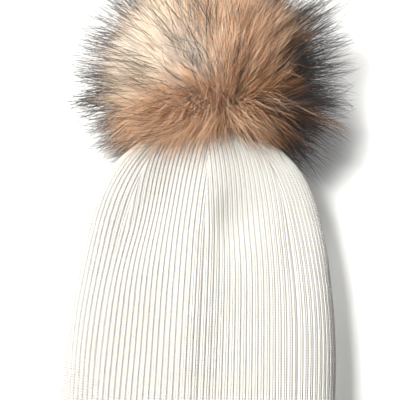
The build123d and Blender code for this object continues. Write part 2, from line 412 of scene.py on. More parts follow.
def fur_finish(name, tip_starts, tip_ends, tip_dark):
    """Fur: the strand map's first number picks the dye of a hair from grey and cream through tan to black,
    its second runs from root to tip. Roots are mixed towards a darker brown, as painted shade deep in the
    fur, and tips turn to the tip's own dark."""
    f = Finish(name, Specular_IOR_Level=0.25, Sheen_Weight=0.14, Sheen_Roughness=0.4)
    tone, along = f.own_map("OFBake")
    dye = f.ramp(tone, [
        (0.00, tint(196, 178, 168)),
        (0.14, tint(250, 238, 222)),
        (0.28, tint(254, 232, 206)),
        (0.42, tint(240, 200, 164)),
        (0.58, tint(170, 116, 74)),
        (0.74, tint(88, 56, 36)),
        (0.88, tint(30, 21, 17)),
        (1.00, tint(14, 12, 12)),
    ])
    root = 1.0 - along.between(0.0, 0.22)
    tip = along.between(tip_starts, tip_ends)
    # Painted shade: the roots are mixed towards a darker brown, as shade deep among the hairs
    colour = f.mix(root * 0.30, dye, tint(176, 130, 92))
    colour = f.mix(tip * tip_dark, colour, tint(26, 22, 24))
    roughness = 0.42 + tone * 0.14
    return f.wear(colour, roughness=roughness)


nickel = metal_finish("nickel plate", tint(214, 210, 202), tint(160, 152, 140), 0.16)
spring_steel = metal_finish("spring steel", tint(188, 188, 192), tint(120, 118, 118), 0.2)

# What the new pieces are made of: a finish, the body that they ride on and the name of a slot
wool_light, wool_shade = tint(247, 244, 237), tint(112, 103, 88)
outer_knit = knit_finish("cream rib knit", wool_light, wool_shade), "hat", "outer_knit"
inner_knit = knit_finish("cream lining knit", tint(240, 232, 216), tint(190, 176, 156)), "hat", "lining_knit"
seam_yarn = yarn_finish("cream seam yarn", wool_light, wool_shade), "hat", "seam_yarn"
draw_thread = yarn_finish("waxed draw thread", tint(214, 196, 168), tint(140, 118, 90)), "pom", "draw_thread"
cream_felt = felt_finish("cream felt", tint(238, 230, 214), tint(204, 190, 168)), "hat", "felt"
tan_felt = felt_finish("tan felt", tint(176, 142, 104), tint(128, 98, 68)), "pom", "felt"
pelt_skin = leather_finish("tanned skin side", tint(214, 186, 150), tint(168, 134, 98)), "pom", "pelt_leather"
filling = stuffing_finish("fibre filling", tint(244, 242, 238), tint(206, 204, 198)), "pom", "stuffing"
label_tape = label_finish("woven label tape", tint(248, 246, 240), tint(214, 208, 198)), "hat", "label_tape"
underfur = fur_finish("underfur", 0.80, 1.0, 0.25), "pom", "fur"
guard_hair = fur_finish("guard hair", 0.46, 0.64, 0.97), "pom", "fur"


# ==== The hat's surfaces ====

tip_angle = math.asin(tip_half_width / tip_radius)
# Angles round the hat from the middle of its front, and the share of its girth up to each
around_angles = np.linspace(0, 2 * math.pi, 2881)
around_steps = np.hypot(np.cos(around_angles), hat_depth / hat_width * np.sin(around_angles))
around_lengths = np.concatenate([[0], np.cumsum((around_steps[1:] + around_steps[:-1]) / 2)])
around_lengths /= around_lengths[-1]


def outline(t, inset):
    """Side outline at t, moved inwards by inset: t from 0 at the tip to 1 runs along the arc, and
    from 1 to 2 along the cubic curve to the brim. Returns its half width and its height."""
    arc = np.clip(t, 0, 1) * tip_angle
    radius = tip_radius - inset
    x, z = radius * np.sin(arc), hat_height - inset - radius * (1 - np.cos(arc))
    end_x = radius * math.sin(tip_angle)
    end_z = hat_height - inset - radius * (1 - math.cos(tip_angle))
    handle = shoulder_handle - shoulder_handle_loss * inset
    corners = (
        (end_x, end_z),
        (end_x + handle * math.cos(tip_angle), end_z - handle * math.sin(tip_angle)),
        (hat_width / 2 - inset, side_handle + side_handle_gain * inset),
        (hat_width / 2 - inset, 0.0),
    )
    s = np.clip(t - 1, 0, 1)
    weights = ((1 - s) ** 3, 3 * s * (1 - s) ** 2, 3 * s * s * (1 - s), s**3)
    curve_x, curve_z = (sum(w * c[k] for w, c in zip(weights, corners)) for k in (0, 1))
    return np.where(t <= 1, x, curve_x), np.where(t <= 1, z, curve_z)


fine_t = np.concatenate([np.linspace(0, 1, 200, endpoint=False), np.linspace(1, 2, 2000)])
fine_radius, fine_height = outline(fine_t, 0.0)
fine_length = np.concatenate([[0], np.cumsum(np.hypot(np.diff(fine_radius), np.diff(fine_height)))])


def t_at_height(height):
    """The outline's t at a height."""
    return np.interp(-np.asarray(height), -fine_height, fine_t)


def t_at_radius(radius):
    """The outline's t at a half width on the crown."""
    return np.interp(radius, fine_radius, fine_t)


def length_at(t):
    """Length along the outline from the tip to t."""
    return np.interp(t, fine_t, fine_length)


def t_at_length(length):
    """The outline's t at a length from the tip."""
    return np.interp(length, fine_length, fine_t)


def crown_height(x, y):
    """Height of the hat's outside above the point (x, y): the outline's height at the half width of
    the flattened round that passes through the point."""
    q = np.hypot(x, y * hat_width / hat_depth)
    return np.interp(q, fine_radius, fine_height)


def dents(x, z, front):
    """How far the soft hat gives inwards, in front only but for its slow waves: a dimple beside the
    dart, a long shallow hollow below it, folds at both shoulders and low on the left, less a ridge
    left of the dart. Each is a bell curve in x and z, wider on one side than on the other."""

    def bowl(x_middle, left_width, right_width, z_middle, z_width):
        from_middle = x - x_middle
        width = np.where(from_middle < 0, left_width, right_width)
        return np.exp(-((from_middle / width) ** 2) - ((z - z_middle) / z_width) ** 2)

    dimple = 0.0112 * bowl(0.0190, 0.0115, 0.020, 0.182, 0.026)
    hollow = 0.0038 * bowl(0.015, 0.011, 0.026, 0.100, 0.070)
    fold = 0.0130 * bowl(-0.046 + (z - 0.195) * 0.35, 0.016, 0.026, 0.188, 0.038)
    right_fold = 0.0022 * bowl(0.066, 0.012, 0.018, 0.175, 0.040)
    ridge = 0.0046 * bowl(-0.0085, 0.013, 0.014, 0.120, 0.085)
    low_left = 0.0034 * bowl(-0.052, 0.020, 0.024, 0.105, 0.060)
    waves = 0.0010 * np.sin(70 * x + 22 * z) * np.sin(31 * z + 1.0)
    given = front * (dimple + hollow + fold + right_fold + low_left - ridge) + waves
    return given * smooth(z, 0.0, 0.05)


def cloth(angle, t, inset):
    """Points of the hat's wall, at a depth of inset, and the way out of it there. The flattened
    round's centre slides back towards the top, so that the rows close round the snap's seat."""
    radius, height = outline(t, inset)
    flat = (hat_depth / 2 - inset) / (hat_width / 2 - inset)
    slide = seat[1] * (1 - smooth(radius, 0.0, 0.075))
    x, y = radius * np.sin(angle), slide - radius * flat * np.cos(angle)
    q = np.hypot(x, y / flat)
    profile_t = np.linspace(0, 2, 1500)
    profile_x, profile_z = outline(profile_t, inset)
    z = height + np.interp(q, profile_x, profile_z) - np.interp(radius, profile_x, profile_z)
    slope_x, slope_z = np.gradient(profile_x), np.gradient(profile_z)
    out = np.interp(q, profile_x, -slope_z / np.hypot(slope_x, slope_z))
    up = np.interp(q, profile_x, slope_x / np.hypot(slope_x, slope_z))
    safe = np.maximum(q, 1e-6)
    way = unit(np.stack([x / safe * out, y / (flat**2 * safe) * out, up], -1))
    front = smooth(-y, -0.004, 0.012)
    points = np.stack([x, y, z], -1)
    return points - way * dents(x, z, front)[..., None], way


def rib_relief(in_rib, to_seam):
    """Height of the knitting above its grooves: a flat-topped rib with a faint line down its middle,
    falling to the groove as exp(-(d/0.13)^2) of the distance d, and to nothing at a seam. It is sunk
    by 0.6 of its height into the wall."""
    from_groove = np.minimum(in_rib, 1 - in_rib)
    rib = 1 - np.exp(-((from_groove / 0.13) ** 2))
    crown = 1 - 0.22 * (2 * np.abs(in_rib - 0.5)) ** 2 - 0.14 * np.exp(-(((in_rib - 0.5) / 0.05) ** 2))
    return rib_height * (rib * crown * smooth(to_seam, 0.0, 0.4) - 0.6)


def knit_columns(sections, t):
    """Angle, rib count, distance to the nearest seam in ribs, and the column each point joins, for
    sections of ribs. Above narrowing_starts a section narrows faster than its ribs do, so its
    outer ribs run into the seams, and a column past a seam joins the seam's own column."""
    radius, _ = outline(t, 0.0)
    start_radius = outline(t_at_height(narrowing_starts), 0.0)[0]
    spread = np.maximum(start_radius / np.maximum(radius, 1e-4), 1.0) ** narrowing_share
    angle, count, to_seam, joins = [], [], [], []
    done = 0
    for section in sections:
        ribs = ribs_in_section[section]
        from_start = (np.arange(ribs)[:, None] + rib_steps[None, :]).ravel()
        from_start = np.append(from_start, ribs)
        from_middle = (from_start - ribs / 2)[None, :] * spread[:, None]
        held = np.clip(from_middle, -ribs / 2, ribs / 2)
        ends = np.array([section, section + 1]) * math.pi / 4
        low, high = np.interp(ends, around_angles, around_lengths)
        share = low + (held / ribs + 0.5) * (high - low)
        angle.append(np.interp(share, around_lengths, around_angles))
        count.append(done + ribs / 2 + held / spread[:, None])
        to_seam.append(ribs / 2 - np.abs(held))
        column = np.arange(len(from_start))[None, :] + sum(a.shape[1] for a in joins)
        first, last = column[:, :1], column[:, -1:]
        joins.append(np.where(from_middle < -ribs / 2, first, np.where(from_middle > ribs / 2, last, column)))
        done += ribs
    return [np.concatenate(part, 1) for part in (angle, count, to_seam, joins)]


def shell_quarter(name, sections, stands_for):
    """A quarter of the knitted shell, closed: up the outside, over the edge of the snap's hole, down
    the hidden inside, over the hem's top edge, down the hem and round the brim's edge."""
    body_top, round_depths, round_heights = 0.160, [0.0045, 0.0027, 0.0009], [0.0005, 0.00001, 0.0005]
    hole_t = t_at_radius(hole_radius)
    body = t_at_height(np.linspace(brim_edge, body_top, 50))
    crown_starts = length_at(body[-1]) - 0.0018
    crown = t_at_length(np.linspace(crown_starts, length_at(hole_t), 66))
    inside_rows = [0.247, 0.242, 0.232, 0.215, 0.195, 0.17, 0.14, 0.11, 0.08, 0.06, hem_height + 0.0005]
    hidden = np.append(hole_t, t_at_height(inside_rows))
    hem = t_at_height(np.linspace(hem_height, brim_edge, 9))
    edge = t_at_height(round_heights)
    rows_t = np.concatenate([body, crown, hidden, hem, edge])
    shown = len(body) + len(crown)
    counts = [shown, len(hidden), len(hem), 1, 1, 1]
    rows_inset = np.repeat([0, shell_wall, full_wall, *round_depths], counts)
    rows_relief = np.repeat([1, 0, -1, -0.6, 0.0, 0.6], counts)[:, None]
    angle, count, to_seam, joins = knit_columns(sections, rows_t)
    relief = rib_relief(count % 1.0, to_seam) * rows_relief
    outside = rows_relief > 0
    relief = relief - seam_groove * np.exp(-((to_seam / 0.45) ** 2)) * outside
    past_snap = smooth(outline(rows_t, 0.0)[0], *snap_dip)[:, None]
    relief = np.where(outside, relief * past_snap - snap_sink * (1 - past_snap), relief)
    points = np.zeros((*angle.shape, 3))
    for inset in np.unique(rows_inset):
        rows = rows_inset == inset
        place, way = cloth(angle[rows], rows_t[rows][:, None], inset)
        points[rows] = place + way * relief[rows][..., None]
    rows, columns = angle.shape
    faces, row, column = grid_faces(rows, columns, close_rows=True)
    index = np.arange(rows)[:, None] * columns + joins
    faces = index[row % rows, column]
    climb = -length_at(np.append(rows_t, rows_t[0]))
    climb[shown:-1] *= -1
    # The bake map gives most of its height to the rows that show
    packed = np.concatenate([np.linspace(0, 0.82, shown), np.linspace(0.83, 0.99, rows + 1 - shown)])
    around = np.linspace(0.002, 0.998, columns)
    maps = {
        "knit": np.stack([np.vstack([count, count[:1]])[row, column], climb[row] / course], -1),
        "OFBake": np.stack([around[column], packed[row]], -1),
    }
    make_piece(name, points, faces, outer_knit, stands_for, maps, (index[:, -1], index[::-1, 0]))


# ==== Stage, light and camera ====

scene = bpy.context.scene
scene.view_settings.view_transform = "Standard"

view_width = 0.294
view_middle = Vector((-0.0045, 0.0, 0.1960))
camera_distance = 1.05
camera_roll = math.radians(2.5)
camera_data = bpy.data.cameras.new("camera")
camera_data.sensor_width = 36.0
camera_data.lens = camera_data.sensor_width * camera_distance / view_width
camera_data.clip_start = 0.05
camera = bpy.data.objects.new("camera", camera_data)
scene.collection.objects.link(camera)
camera.location = view_middle + Vector((0, -camera_distance, 0))
upright = Matrix.Rotation(math.radians(90), 3, "X")
camera.rotation_euler = (upright @ Matrix.Rotation(camera_roll, 3, "Z")).to_euler()
scene.camera = camera


def paper_finish(name, glow):
    """Matt white paper that only its front shows: from behind, it lets the view through. It glows a
    little, as paper lit by a whole room does."""
    f = Finish(name, Roughness=0.95, Specular_IOR_Level=0.1, Emission_Strength=glow)
    speckle = f.noise(f.place(), 900.0, 3.0)
    f.wear(f.mix(speckle * 0.3, tint(250, 250, 248), tint(244, 245, 244)))
    behind = f.node("ShaderNodeNewGeometry").outputs["Backfacing"]
    clear = f.node("ShaderNodeBsdfTransparent").outputs[0]
    mixed = f.node("ShaderNodeMixShader", None, {0: behind, 1: f.shader.outputs[0], 2: clear})
    out = next(n for n in f.tree.nodes if n.type == "OUTPUT_MATERIAL")
    f.feed(out.inputs[0], mixed.outputs[0])
    return f.material


def paper_sheet(name, y, z, finish):
    """A stage sheet: a line of points (y, z) carried along X, 40 m wide, facing front and up."""
    x, y = np.meshgrid(np.linspace(-stage_reach, stage_reach, 25), y)
    points = np.stack([x, y, np.broadcast_to(z[:, None], x.shape)], -1).reshape(-1, 3)
    faces, _, _ = grid_faces(*x.shape)
    mesh = bpy.data.meshes.new(name)
    mesh.from_pydata(points.tolist(), [], faces.tolist())
    mesh.shade_smooth()
    mesh.materials.append(finish)
    sheet = bpy.data.objects.new(name, mesh)
    scene.collection.objects.link(sheet)
    return sheet


# The floor lies just under the brim. The wall stands close behind the hat, bent back behind the pom
stage_reach = 20.0
floor_y = np.linspace(-stage_reach, stage_reach, 3)
floor = paper_sheet("floor", floor_y, np.full(3, -0.0004), paper_finish("floor paper", 0.85))
floor.visible_shadow = floor.visible_diffuse = False
wall_z = np.concatenate([[-0.001], np.linspace(0.03, 0.40, 38), [2.5]])
wall_y = 0.051 + 0.065 * smooth(wall_z, 0.16, 0.31)
wall = paper_sheet("wall", wall_y, wall_z, paper_finish("wall paper", 0.04))
wall.visible_diffuse = wall.visible_glossy = wall.visible_shadow = wall.visible_transmission = False

# The room's own light is weak, but the camera sees it bright
world = bpy.data.worlds.new("room")
world.use_nodes = True
room = world.node_tree
room.nodes["Background"].inputs[0].default_value = (0.97, 0.98, 1.0, 1.0)
rays = room.nodes.new("ShaderNodeLightPath")
level = room.nodes.new("ShaderNodeMapRange")
level.inputs["To Min"].default_value, level.inputs["To Max"].default_value = 0.15, 0.92
room.links.new(rays.outputs["Is Camera Ray"], level.inputs["Value"])
room.links.new(level.outputs["Result"], room.nodes["Background"].inputs[1])
scene.world = world


def lamp(name, place, size, power, colour):
    """A soft square light that faces the hat's middle."""
    data = bpy.data.lights.new(name, "AREA")
    data.shape, data.size, data.energy, data.color = "SQUARE", size, power, colour
    made = bpy.data.objects.new(name, data)
    made.location = place
    made.rotation_euler = (Vector((0, 0, 0.2)) - made.location).to_track_quat("-Z", "Y").to_euler()
    scene.collection.objects.link(made)


lamp("key light", (-0.78, -1.88, 0.80), 0.55, 70.0, (1.0, 0.995, 0.98))
lamp("top light", (-0.90, -1.30, 2.10), 1.00, 42.0, (1.0, 0.995, 0.98))
lamp("fill light", (1.6, -1.6, 0.7), 1.4, 5.0, (0.95, 0.97, 1.0))
# A weak spot straight up through the brim's opening, which views from below need
upward = bpy.data.lights.new("inside light", "SPOT")
upward.spot_size, upward.spot_blend, upward.energy = math.radians(21), 0.4, 6.0
inside_light = bpy.data.objects.new("inside light", upward)
inside_light.location, inside_light.rotation_euler = (0, 0, -0.5), (math.pi, 0, 0)
scene.collection.objects.link(inside_light)
lamp("back light", (0.7, 2.2, 1.2), 1.6, 110.0, (0.97, 0.98, 1.0))


# ==== The pieces ====

shell_quarter("knit_shell_front_right", (0, 1), ())
shell_quarter("knit_shell_back_right", (2, 3), ())
shell_quarter("knit_shell_back_left", (4, 5), ())
shell_quarter("knit_shell_front_left", (6, 7), ("knit_shell",))


def lining():
    """The knitted lining, closed: up its hidden outside from the hem's edge to the snap's hole, and
    down its ribbed inside."""
    ribs, steps = sum(ribs_in_section), 4
    columns = ribs * steps
    foot, hole = t_at_height(hem_height + 0.0014), t_at_radius(hole_radius + 0.0002)
    outside_rows = [0.06, 0.09, 0.12, 0.15, 0.18, 0.20, 0.22, 0.235, 0.243, 0.2475]
    hidden = np.append(foot, t_at_height(outside_rows))
    shown = t_at_length(np.linspace(*length_at([hole, foot]), 84))
    rows_t = np.concatenate([hidden, shown])
    count = np.arange(columns) / steps
    angle = np.interp(count / ribs, around_lengths, around_angles)
    fade = smooth(outline(shown, 0.0)[0], 0.006, 0.05)[:, None]
    relief = 0.55 * rib_relief(count % 1.0, ribs) * fade
    outside, _ = cloth(angle, hidden[:, None], lining_face)
    inside, way = cloth(angle, shown[:, None], full_wall)
    points = np.concatenate([outside, inside - way * (relief - 0.0002)[..., None]])
    faces, row, column = grid_faces(len(rows_t), columns, close_rows=True, close_columns=True)
    climb = np.append(length_at(rows_t), 0.0)
    packed = np.concatenate([np.linspace(0.84, 0.99, len(hidden)), np.linspace(0, 0.83, len(shown)), [0.84]])
    maps = {
        "knit": np.stack([column / steps, -climb[row] / course], -1),
        "OFBake": np.stack([0.002 + 0.996 * column / columns, packed[row]], -1),
    }
    make_piece("knit_lining_layer", points, faces, inner_knit, ("knit_lining",), maps)


def yarn(name, path, out, radius, made_of, stands_for, closed=False, twist=0.0042):
    """Two-ply yarn along a path (n, 3) with the way out of the cloth beside it. The radius of its
    section at an angle a is R (0.72 + 0.28 |cos(a - turn)|), and the turn grows with the length."""
    corners = 10
    ahead, behind = np.roll(path, -1, 0), np.roll(path, 1, 0)
    along = unit(ahead - behind) if closed else unit(np.gradient(path, axis=0))
    side = unit(np.cross(along, out))
    up = np.cross(side, along)
    length = np.concatenate([[0], np.cumsum(np.linalg.norm(np.diff(path, axis=0), axis=1))])
    whole = length[-1] + np.linalg.norm(path[0] - path[-1])
    if closed:
        twist = whole / round(whole / twist)
    turn = np.linspace(0, 2 * math.pi, corners, endpoint=False)
    section = radius * (0.72 + 0.28 * np.abs(np.cos(turn - math.pi * length[:, None] / twist)))
    rim = side[:, None] * np.cos(turn)[:, None] + up[:, None] * np.sin(turn)[:, None]
    points = path[:, None] + rim * section[..., None]
    faces, row, column = grid_faces(len(path), corners, close_rows=closed, close_columns=True)
    lay = np.stack([np.append(length, whole)[row] / twist, column / corners], -1)
    index = np.arange(len(path) * corners).reshape(-1, corners)
    ends = () if closed else (index[-1], index[0, ::-1])
    make_piece(name, points, faces, made_of, stands_for, {"yarn": lay}, ends)


def seam(name, angle, low_t, high_t, stands_for):
    """Yarn sewn up the hat at one angle: it swings from side to side and in and out as it goes."""
    step, stitch_length, swing, bob, radius = 0.0003, 0.0029, 0.00026, 0.00018, 0.00052
    low, high = length_at([low_t, high_t])
    steps = int(abs(high - low) / step)
    place = np.linspace(low, high, steps)
    points, way = cloth(np.full(steps, angle), t_at_length(place), snap_sink)
    across = unit(np.cross(np.gradient(points, axis=0), way))
    stitch = 2 * math.pi * place[:, None] / stitch_length
    path = points + across * swing * np.sin(stitch) + way * bob * np.cos(stitch)
    yarn(name, path, way, radius, seam_yarn, stands_for)


def hem_link():
    """The yarn that links the lining to the hem's edge: a flat wave between the two layers."""
    swing, rise, radius = 0.00040, np.array([0, 0, 0.00012]), 0.00056
    angle = np.linspace(0, 2 * math.pi, 1500, endpoint=False)
    points, way = cloth(angle, np.full(len(angle), t_at_height(hem_height + 0.0006)), link_depth)
    stitch = (sum(ribs_in_section) * angle)[:, None]
    path = points + way * swing * np.sin(stitch) + rise * np.cos(stitch)
    yarn("hem_link_stitches", path, way, radius, seam_yarn, ("hem_yarn",), closed=True)


def on_snap(radius, height, turn):
    """Points at a radius from the snap's axis and a height along it, at a turn round it."""
    side = snap_right * np.cos(turn)[..., None] + snap_back * np.sin(turn)[..., None]
    return seat + snap_axis * np.asarray(height)[..., None] + side * np.asarray(radius)[..., None]


def ring_yarn(name, radius, height, thickness, waves, made_of, stands_for):
    """Yarn drawn round the snap's axis, with small waves up and down where it passes its stitches."""
    turn = np.linspace(0, 2 * math.pi, 300, endpoint=False)
    path = on_snap(radius, height + thickness * 0.12 * np.sin(waves * turn), turn)
    yarn(name, path, snap_axis, thickness / 2, made_of, stands_for, closed=True, twist=0.0030)


def lumps(points, size, seed):
    """Soft lumps between -1 and 1: the mean of eight sine waves in random directions, each about a
    size long."""
    throw = np.random.default_rng(seed)
    ways = unit(throw.normal(0, 1, (8, 3))) * (2 * math.pi / (size * throw.uniform(0.6, 1.6, (8, 1))))
    return np.sin(points @ ways.T + throw.uniform(0, 6.3, 8)).mean(-1) * 1.6


def ring_profile(bore, radius, low, high, edge, count):
    """Half section of a flat ring as count even points: a rectangle whose corners are rounded, each
    the middle point of a quadratic curve that starts and ends an edge's length away from it."""
    corners = np.array([(bore, low), (radius, low), (radius, high), (bore, high)])
    start = corners + unit(np.roll(corners, 1, 0) - corners) * edge
    end = corners + unit(np.roll(corners, -1, 0) - corners) * edge
    s = np.linspace(0, 1, 6)[None, :, None]
    line = (1 - s) ** 2 * start[:, None] + 2 * s * (1 - s) * corners[:, None] + s * s * end[:, None]
    line = np.vstack([line.reshape(-1, 2), start[:1]])
    length = np.concatenate([[0], np.cumsum(np.linalg.norm(np.diff(line, axis=0), axis=1))])
    even = np.linspace(0, length[-1], count, endpoint=False)
    return np.stack([np.interp(even, length, line[:, k]) for k in (0, 1)], 1)


def crown_fall(radius, turn):
    """How far the hat's inside falls away under the snap: the square of the distance from the axis
    over twice the radius of the hat's curve, which is one along X and another along Y."""
    twice_across, twice_back = 0.229, 0.0444
    return radius**2 * (np.cos(turn) ** 2 / twice_across + np.sin(turn) ** 2 / twice_back)


def turned(name, profile, around, made_of, stands_for, relief, size, fall=0.0):
    """A piece turned about the snap's axis from a closed profile of (radius, height) points, with its
    surface raised by relief times lumps. Its points fall with the hat's inside by a share of each."""
    radius, height = profile[:, :1], profile[:, 1:]
    turn = np.linspace(0, 2 * math.pi, around, endpoint=False)[None, :]
    points = on_snap(radius, height - fall * crown_fall(radius, turn), turn)
    down = np.roll(points, -1, 0) - np.roll(points, 1, 0)
    across = np.roll(points, -1, 1) - np.roll(points, 1, 1)
    points = points + unit(np.cross(down, across)) * (relief * lumps(points, size, 3))[..., None]
    grid_piece(name, points, made_of, stands_for)


def slab(name, front, back, made_of, stands_for, threads):
    """A thin sheet between two grids of points, closed round its rim, with a map of its threads."""
    rows, columns = front.shape[:2]
    count = rows * columns
    grid, _, _ = grid_faces(rows, columns)
    index = np.arange(count).reshape(rows, columns)
    rim = np.concatenate([index[0, :-1], index[:-1, -1], index[-1, :0:-1], index[:0:-1, 0]])
    after = np.roll(rim, -1)
    wall = np.stack([rim, rim + count, after + count, after], 1)
    faces = np.concatenate([grid, grid[:, ::-1] + count, wall])
    across, up = np.meshgrid(np.linspace(0, threads[0], columns), np.linspace(0, threads[1], rows))
    weave = np.stack([across, up], -1).reshape(-1, 2)[faces % count]
    return make_piece(name, np.stack([front, back]), faces, made_of, stands_for, {"weave": weave})


def care_tape():
    """The blank care label, laid on the hem's ribs inside the back, with its upper corners lifting."""
    x, z = np.meshgrid(np.linspace(-label_width / 2, label_width / 2, 57),
                       np.linspace(label_bottom, label_bottom + label_height, 37))
    t = t_at_height(z)
    angle = math.pi - np.arcsin(x / outline(t, full_wall)[0])
    share = np.maximum(2 * (z - label_bottom) / label_height - 1, 0)
    lift = 0.0005 * (np.abs(x) / (label_width / 2)) ** 6 * share**2
    place, way = cloth(angle, t, full_wall)
    front = place - way * (0.00105 + lift)[..., None]
    back = place - way * (0.00070 + lift)[..., None]
    label = slab("care_label_tape", front, back, label_tape, ("care_label",), (70.0, 45.0))


def label_stitches():
    """Stitches down both ends of the care label: short flat loops, one below another."""
    s = np.linspace(0, 1, 12)
    places = [(side, low) for side in (-1, 1) for low in np.arange(0.0172, 0.0325, 0.0023)]
    for number, (side, low) in enumerate(places, 1):
        t = t_at_height(low + 0.0016 * s)
        angle = math.pi - np.arcsin(side * (label_width / 2 - 0.0012) / outline(t, full_wall)[0])
        points, way = cloth(angle, t, full_wall)
        path = points - way * (0.0008 + 0.0004 * np.sin(math.pi * s))[:, None]
        yarn(f"label_stitch_{number}", path, way, 0.00018, seam_yarn, ())


lining()
seam_top = t_at_radius(0.0088)
dart_end = t_at_height(0.193)
seam("front_dart_stitches", 0.0, dart_end, seam_top, ("front_dart_yarn",))
seam("right_dart_stitches", math.pi / 2, dart_end, seam_top, ("right_dart_yarn",))
seam("back_seam_stitches", math.pi, t_at_height(0.0026), seam_top, ("back_seam_yarn",))
seam("left_dart_stitches", 3 * math.pi / 2, dart_end, seam_top, ("left_dart_yarn",))
hem_link()
ring_yarn("crown_gather_thread", 0.0050, -0.0014, 0.0011, 11, seam_yarn, ("crown_gather_yarn",))
ring_yarn("pelt_draw_thread", 0.00695, 0.00825, 0.00088, 16, draw_thread, ("pom_draw_thread",))
care_tape()
label_stitches()

# Felt round the snap, each a ring with its bore, radius, underside and top from the crown's plane
washer = ring_profile(0.0021, 0.0080, -0.0008, 0.0007, 0.00035, 60)
turned("crown_felt_washer", washer, 120, cream_felt, ("crown_washer",), 0.00007, 0.0011)
backing = ring_profile(0.0021, 0.0090, -0.0084, -0.0056, 0.0004, 70)
backing_fall = smooth(backing[:, 1:], -0.0080, -0.0062)
turned("crown_felt_backing", backing, 120, cream_felt, ("crown_backing",), 0.00008, 0.0012, backing_fall)
base = ring_profile(0.0016, 0.0150, 0.00645, disc_top, 0.0004, 90)
turned("pom_felt_disc", base, 180, tan_felt, ("pom_base_disc",), 0.00008, 0.0012)


def ball_layer(radius, floor, mouth, pleats, relief, size):
    """Rows of points on a ball about the pom's centre, flat below: out along its floor from the mouth,
    and up to the top. Pleats drawn up round the mouth fade over the ball as the cube of the nearness,
    and lumps raise its surface."""
    pleat_count, pleat_reach = 22, 0.022
    rim = math.sqrt(radius**2 - (pelt_rise - floor) ** 2)
    rise = np.linspace(-math.acos(rim / radius), math.pi / 2, 60)
    flat = np.linspace(mouth, rim, 8)[:-1]
    far = np.concatenate([flat, radius * np.cos(rise)])[:, None]
    high = np.concatenate([np.full(len(flat), floor), pelt_rise + radius * np.sin(rise)])[:, None]
    turn = np.linspace(0, 2 * math.pi, 192, endpoint=False)[None, :]
    near = np.clip(1 - (high - floor) / pleat_reach, 0, 1) ** 3
    swell = 0.6 * near * pleats * np.cos(pleat_count * turn)
    points = on_snap(far + swell, high, turn)
    return points + unit(points - pelt_centre) * (relief * lumps(points, size, 5) + swell)[..., None]


# The hide is two layers of a ball, joined on top and round the mouth's edge
pelt_wall = 0.0012
outer = ball_layer(pelt_radius, disc_top, 0.0074, 0.0005, 0.0002, 0.009)
inner = ball_layer(pelt_radius - pelt_wall, disc_top + pelt_wall, 0.0074, 0.0005, 0.0002, 0.009)
hide = np.concatenate([outer, inner[::-1]])
grid_piece("pelt_ball", hide, pelt_skin, ("pom_pelt",), poles=(len(outer) - 1, len(outer)))

# The filling is a full ball, closed by one point below and one on top
ball = ball_layer(0.0303, disc_top + 0.0016, 0.0005, 0.0, 0.0002, 0.006)
ball[0] = ball[0].mean(0)
grid_piece("pom_filling", ball, filling, ("pom_stuffing",), False, (0, len(ball) - 1))


# ==== The fur ====

dice = np.random.default_rng(11)
# The whorl low in front, from which the fur is combed away round the ball
whorl = np.array([0.0140, -0.0170, 0.2475])
whorl_way = unit(whorl - pelt_centre)
down_way = np.array([0.0, 0.0, -1.0])
front_way = np.array([0.0, -1.0, 0.0])
# How far from the pom's centre hairs go freely along X, Y and Z, and how much further at most
free_reach = np.array([0.098, 0.070, 0.080])
gain_past = np.array([0.0190, 0.0150, 0.0140])


def bell(value, middle, width):
    """1 at the middle, falling as exp(-d^2) of the distance in widths."""
    return np.exp(-(((value - middle) / width) ** 2))


def even_ways(count):
    """Even directions over a ball: equal steps along an axis, each turned by the golden angle."""
    step = np.arange(count) + 0.5
    along, turn = 1 - 2 * step / count, step * math.pi * (3 - math.sqrt(5))
    radius = np.sqrt(1 - along**2)
    return np.stack([radius * np.cos(turn), radius * np.sin(turn), along], 1)


def held_in(points):
    """Points with their distance from the pom's centre eased below a limit on each side: past the
    free reach it grows as a hyperbolic tangent."""
    away = points - pelt_centre
    past = np.maximum(np.abs(away) - free_reach, 0)
    eased = np.minimum(np.abs(away), free_reach) + gain_past * np.tanh(past / gain_past)
    return pelt_centre + np.sign(away) * eased


def off_the_hat(points, clearance):
    """Points inside the hat lifted onto it, with a clearance."""
    ground = crown_height(points[:, 0], points[:, 1]) + clearance
    inside = np.hypot(points[:, 0], points[:, 1] * hat_width / hat_depth) < hat_width / 2 - 0.004
    lifted = points.copy()
    lifted[:, 2] = np.where(inside, np.maximum(points[:, 2], ground), points[:, 2])
    return lifted


def lock_paths(ways, lengths, comb, droop, steps=12):
    """Middle lines of locks: each starts on the pelt and takes equal steps. A step's direction is the
    way out from the pom's middle, plus comb times the way round the ball from the whorl, plus droop
    downwards, with the last two growing along the lock."""
    here = pelt_centre + ways * (pelt_radius - 0.0006)
    sway = dice.normal(0, 0.13, (len(ways), 3))
    path = [here]
    for step in range(steps):
        share = (step + 0.5) / steps
        out = unit(here - pelt_centre)
        away = unit(here - whorl)
        along = unit(away - 0.85 * (away * out).sum(1, keepdims=True) * out)
        lie = comb * smooth(out @ whorl_way, -0.40, 0.60) * (0.45 + 0.9 * share)
        way = out * (1.0 - 0.25 * share) + along * lie[:, None] + sway * (0.3 + share)
        way = way + droop * share * down_way
        here = here + unit(way) * (lengths / steps)[:, None]
        here = off_the_hat(here, 0.0012 + 0.0016 * share)
        path.append(here)
    return held_in(np.stack(path, 1).reshape(-1, 3)).reshape(len(ways), steps + 1, 3)


